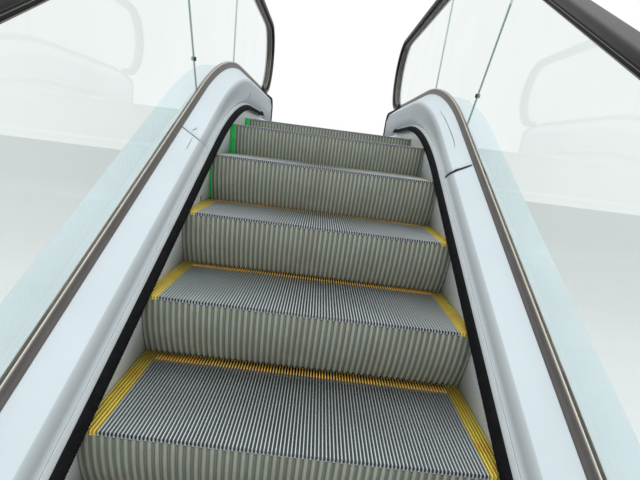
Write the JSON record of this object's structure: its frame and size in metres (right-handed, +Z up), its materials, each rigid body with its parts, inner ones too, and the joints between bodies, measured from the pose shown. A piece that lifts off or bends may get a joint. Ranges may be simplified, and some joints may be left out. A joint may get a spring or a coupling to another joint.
{
  "type": "escalator",
  "caption": "Passenger escalator with cleated steps, brush-edged skirts, sloped metal decks, glass balustrades and black handrails.",
  "frame": {"origin": "on the base face, midway across, under the line where the lower comb meets the steps", "axes": "+X to the right of a rider facing up the stairs, +Y the way up, +Z up"},
  "size_m": [1.54, 11.2647, 4.3495],
  "materials": {
    "casing": "matt paint",
    "cladding": "brushed",
    "bracket": "matt paint",
    "track": "rolled",
    "roller": "satin",
    "floor_plate": "ribbed",
    "comb": "satin",
    "skirt": "satin, pale",
    "brush": "bristles in a strip",
    "deck": "satin",
    "deck_end": "satin",
    "glass": "clear",
    "gasket": "matt",
    "handrail": "satin",
    "guide": "satin",
    "step": "die cast, ribbed",
    "marking": "satin paint",
    "green_strip": "bright paint"
  },
  "bodies": {
    "root": {"casing": "casing", "side_cladding": "cladding", "soffit_panels": "cladding", "bearing_bracket": "bracket", "guide_tracks": "track", "step_rollers": "roller", "floor_plates": "floor_plate", "comb_plates": "comb", "combs": "comb", "skirt_left": "skirt", "skirt_right": "skirt", "skirt_brushes": "brush", "inner_deck_left": "deck", "inner_deck_right": "deck", "outer_deck_left": "deck", "outer_deck_right": "deck", "deck_ends": "deck_end", "glass_left": "glass", "glass_right": "glass", "glass_gaskets": "gasket", "handrail_left": "handrail", "handrail_right": "handrail", "handrail_guides": "guide", "step_markings": "marking", "green_strips": "green_strip", "step_01": "step", "step_02": "step", "step_03": "step", "step_04": "step", "step_05": "step", "step_06": "step", "step_07": "step", "step_08": "step", "step_09": "step", "step_10": "step", "step_11": "step", "step_12": "step", "step_13": "step", "step_14": "step", "step_15": "step", "step_16": "step", "step_17": "step", "step_18": "step", "step_19": "step", "step_20": "step", "step_21": "step", "step_22": "step", "step_23": "step"}
  },
  "joints": []
}
